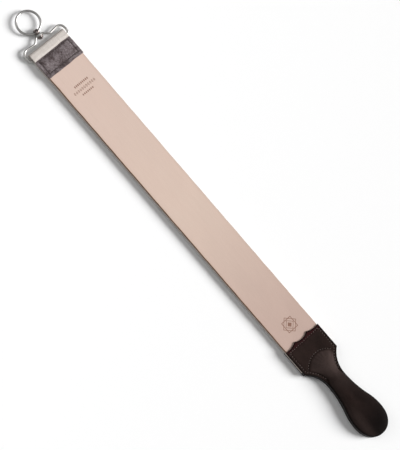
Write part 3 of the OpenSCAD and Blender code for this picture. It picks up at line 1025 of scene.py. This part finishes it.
def front_cover():
    """The padded cover, with gathers, unevenness and sunk seams."""
    ss, yy, e = handle_grid()
    under = pad_z(ss, yy, 0)
    over = np.maximum(FLANGE, pad_z(ss, yy, FLANGE))
    # gathers fan out from the curved seam where the leather is pulled up over the padding
    to_centre = ARC_S + ARC_R - ss
    turn, out = np.arctan2(yy, to_centre), np.hypot(yy, to_centre)
    fan = smooth(3, 9, ARC_R + 4 - out) * smooth(16, 4, ARC_R - out) * (to_centre > 0)
    gathers = 0.16 * np.sin(turn * 21 + 2.2 * np.sin(turn * 5)) * fan
    puffed = 0.1 * wave(31, ss, yy, 26) * smooth(1.5, 6, e)
    sunk = near_seams(ss, yy, 0.2, 0.9, 0.6)
    top = over + gathers + puffed - np.minimum(sunk, FLANGE - 0.5) - rounded(e, 0.55)
    low = under + rounded(e, 0.1)
    return slab(
        "handle_front_leather",
        on_handle(ss, yy, np.minimum(top, PAD_H + FLANGE) + LEATHER_TOP),
        on_handle(ss, yy, np.minimum(low, top - 0.3) + LEATHER_TOP),
        rim=e,
    )


def back_cover():
    """The flat cover, which starts 1 mm before the scallops' hollows."""
    ss, yy, e = handle_grid(-1.0)
    sunk = near_seams(ss, yy, 0.35, 0.95, 0.25)
    low = rounded(e, 0.55) + np.minimum(sunk, 0.9)
    top = STRAP_LOW - rounded(e, 0.1)
    return slab("handle_back_leather", on_handle(ss, yy, top), on_handle(ss, yy, low), rim=e)


def stiffener():
    """The board between the covers, which the straps' ends butt against."""
    ss, yy, e = handle_grid(STRAP_IN_HANDLE)
    soft = rounded(e, 0.25)
    yy = yy * (1 - 0.1 / np.maximum(5, half_w(ss)))
    top, low = on_handle(ss, yy, LEATHER_TOP - soft), on_handle(ss, yy, STRAP_LOW + soft)
    return slab("handle_board", top, low, rim=e)


def felt_pad():
    """The pad under the front cover, a little smaller than the room there."""
    tip = 124.6 + 9.0 * np.sin(np.radians(np.linspace(0, 90, 16)))
    s = np.concatenate([ARC_S + 1.6 + np.arange(0, 102, 1.0), tip])
    t = np.sin(np.radians(np.linspace(-90, 90, 41)))
    ss = np.repeat(s[:, None], len(t), axis=1)
    yy = t[None, :] * pad_half(ss, -0.1)
    high = np.maximum(0.08, pad_z(ss, yy, -0.1) - 0.12 + 0.08 * wave(41, ss, yy, 5))
    top, low = on_handle(ss, yy, LEATHER_TOP + high), on_handle(ss, yy, LEATHER_TOP + 0 * high + 0.02)
    return slab("handle_felt_pad", top, low)


cover = dress(front_cover(), HANDLE_MAT)
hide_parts("handle_front_cover")
back = dress(back_cover(), HANDLE_MAT)
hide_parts("handle_back_cover")
board = dress(stiffener(), BOARD_MAT)
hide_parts("handle_stiffener")
pad = dress(felt_pad(), FELT_MAT)
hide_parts("handle_pad")
for piece in (cover, back, board, pad):
    outward(piece)
    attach(piece, "handle")

for name, node, seam in (
    ("handle_stitches", "handle_seam_thread", handle_seam()),
    ("grip_stitches", "grip_seam_thread", grip_seam()),
):
    sewn = stitches(
        name,
        [(s + HANDLE_D, y) for s, y in seam],
        lambda d, y: FLANGE_TOP - 0.2,
        lambda d, y: 0.42,
        0.38,
        0.31,
    )
    dress(sewn, HANDLE_THREAD_MAT)
    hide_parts(node)
    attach(sewn, "handle")


# -------- ring, swivel and bail
# Radius of the ring's middle line, and half thicknesses of its wire and the bail's
RING_R, RING_WIRE, BAIL_WIRE = 13.65, 1.35, 1.25
# half of the gap between the wire's ends, as an angle
half_gap = 0.15 / RING_R
turns = np.linspace(math.pi + half_gap, 3 * math.pi - half_gap, 181)
path = np.column_stack(
    [RING_WIRE + RING_R + RING_R * np.cos(turns), RING_R * np.sin(turns), np.full(len(turns), AXIS_Z)]
)
wire = np.full(len(turns), RING_WIRE)
wire[[0, -1]] = RING_WIRE - 0.22
points, faces = tube(path, wire, 24)
ring = mesh_piece("ring_wire", points, faces, sharp=50)
outward(ring)
dress(ring, RING_MAT)
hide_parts("hanging_ring")
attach(ring, "ring")

# Middle of the eye that the ring hangs in
EYE_D = 28.3


def rounded_box(a0, a1, r0, r1, r):
    """Closed profile of a rounded rectangle: along the axis from a0 to a1, radii from r0 to r1."""
    centres = ((a1 - r, r1 - r), (a0 + r, r1 - r), (a0 + r, r0 + r), (a1 - r, r0 + r))
    line = []
    for k, (along, radius) in enumerate(centres):
        line += arc_points(along, radius, r, 90 * k, 90 * k + 90, 7)
    return line


eye_profile = rounded_box(-2.3, 2.3, 1.9, 3.3, 0.62)
eye = lathe("swivel_eye_ring", eye_profile, (EYE_D, 0, AXIS_Z), "y", 72, True)
shank = lathe(
    "swivel_shank",
    [(30.6, 1.2), (30.6, 2.3), (31.1, 2.35), (31.45, 2.2), (31.6, 1.5)]
    + [(33.0, 1.5), (34.6, 1.5), (37.4, 1.5), (37.5, 0.9)],
    (0, 0, AXIS_Z),
    "x",
    48,
)
head = lathe(
    "swivel_head_dome",
    [(34.45, 1.52), (34.42, 2.9), (34.55, 3.3), (34.85, 3.58), (35.3, 3.68), (35.7, 3.6), (35.95, 3.3)]
    + [(36.05, 3.05), (36.3, 3.05), (36.6, 2.95), (37.0, 2.6), (37.4, 2.1), (37.75, 1.4)]
    + [(37.9, 0.7), (37.95, 0.1)],
    (0, 0, AXIS_Z),
    "x",
    64,
)
for piece, node in ((eye, "swivel_eye"), (shank, None), (head, "swivel_head")):
    dress(piece, SWIVEL_MAT)
    if node:
        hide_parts(node)
    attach(piece, "swivel")

# Half of the bail's wire: corners as (d, y, bend radius)
BAIL_HALF = ((38.2, 10.6, 4.0), (36.4, 27.6, 6.4), (45.2, 28.6, 3.5), (50.3, 27.6, 1.8))


def bent_wire(corners, step):
    """Points along a wire with rounded corners; the first and last corners are its ends."""
    line = [np.array(corners[0][:2], float)]

    def run_to(end):
        while np.linalg.norm(end - line[-1]) > 2 * step:
            line.append(line[-1] + step * (end - line[-1]) / np.linalg.norm(end - line[-1]))

    for before, here, after in zip(corners[:-2], corners[1:-1], corners[2:]):
        b, h, a = (np.array(c[:2], float) for c in (before, here, after))
        into, out = (h - b) / np.linalg.norm(h - b), (a - h) / np.linalg.norm(a - h)
        turn = math.acos(max(-1, min(1, into @ out)))
        trim = here[2] * math.tan(turn / 2)
        start, end = h - into * trim, h + out * trim
        run_to(start)
        side = np.array([-into[1], into[0]]) * (1 if into[0] * out[1] - into[1] * out[0] > 0 else -1)
        centre = start + side * here[2]
        for t in np.linspace(0, 1, max(4, int(here[2] * turn / step * 1.5))):
            c, s = math.cos(turn * t), math.sin(turn * t)
            line.append(centre - side * here[2] * c + into * here[2] * s)
        line[-1] = end
    last = np.array(corners[-1][:2], float)
    run_to(last)
    line.append(last)
    return np.array(line)


corners = [(33.0, 2.5, 0), (33.0, 4.4, 2.2), *BAIL_HALF]
corners += [(d, -y, r) for d, y, r in reversed(corners)]
line = bent_wire(corners, 0.7)
path = np.column_stack([line, np.full(len(line), AXIS_Z)])
points, faces = tube(path, BAIL_WIRE, 20)
bail = mesh_piece("bail_wire", points, faces, sharp=50)
outward(bail)
boss = lathe("bail_boss", rounded_box(31.7, 34.3, 1.58, 3.4, 0.45), (0, 0, AXIS_Z), "x", 64, True)
for piece in (bail, boss):
    dress(piece, BAIL_MAT)
    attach(piece, "bail")
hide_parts("wire_bail")


# -------- stage
# White paper, a little under the strop. Lengths from here on are in metres.
mesh = bpy.data.meshes.new("floor")
mesh.from_pydata([(-8, -8, 0), (8, -8, 0), (8, 8, 0), (-8, 8, 0)], [], [(0, 1, 2, 3)])
floor = add_object("floor", mesh)
mesh.materials.append(Paint("floor_paper", rough=0.9, specular=0.1).finish((0.96, 0.96, 0.96, 1.0)))
floor.location.z = -0.0002

world = bpy.data.worlds.new("studio")
bpy.context.scene.world = world
world.use_nodes = True
background = world.node_tree.nodes["Background"]
background.inputs["Color"].default_value = (1, 1, 1, 1)
background.inputs["Strength"].default_value = 0.12
bpy.context.scene.view_settings.view_transform = "Standard"


def area_light(name, place_at, size, watts):
    """Round lamp that is aimed at the middle of the strop."""
    data = bpy.data.lights.new(name, "AREA")
    data.shape = "DISK"
    data.size = size
    data.energy = watts
    light = add_object(name, data)
    light.location = place_at
    light.rotation_euler = (-Vector(place_at)).to_track_quat("-Z", "Y").to_euler()


# Direction that the sun shines from
SUN_AT = Vector((1.15, 1.35, 1.0))
key = bpy.data.lights.new("key", "SUN")
key.angle = math.radians(28)
key.energy = 4.82
sun = add_object("key", key)
sun.rotation_euler = SUN_AT.to_track_quat("Z", "Y").to_euler()
area_light("top", (-0.3, 0.1, 2.3), 1.4, 5)
area_light("fill", (-1.6, -1.3, 1.5), 1.8, 10)


# -------- camera
# Fitted to the photo: distance from the strop, angles off straight down, and place looked at
DISTANCE = 2.0
TILT, LEAN, ROLL = math.radians(18.67), math.radians(-0.94), math.radians(48.91)
AIM = Vector((0.0007, -0.00106, 0))
# Focal length and sensor size, in mm
LENS, SENSOR = 146.184, 36

back_to = Vector((math.sin(LEAN), -math.sin(TILT), 0))
back_to.z = math.sqrt(1 - back_to.x**2 - back_to.y**2)
right = (-back_to).cross(Vector((0, 1, 0))).normalized()
up = right.cross(-back_to)
image_x = right * math.cos(ROLL) + up * math.sin(ROLL)
image_y = up * math.cos(ROLL) - right * math.sin(ROLL)
data = bpy.data.cameras.new("camera")
data.sensor_width = SENSOR
data.lens = LENS
data.clip_start, data.clip_end = 0.05, 50
camera = add_object("camera", data)
turned = Matrix((image_x, image_y, back_to)).transposed().to_4x4()
camera.matrix_world = Matrix.Translation(AIM + back_to * DISTANCE) @ turned
bpy.context.scene.camera = camera
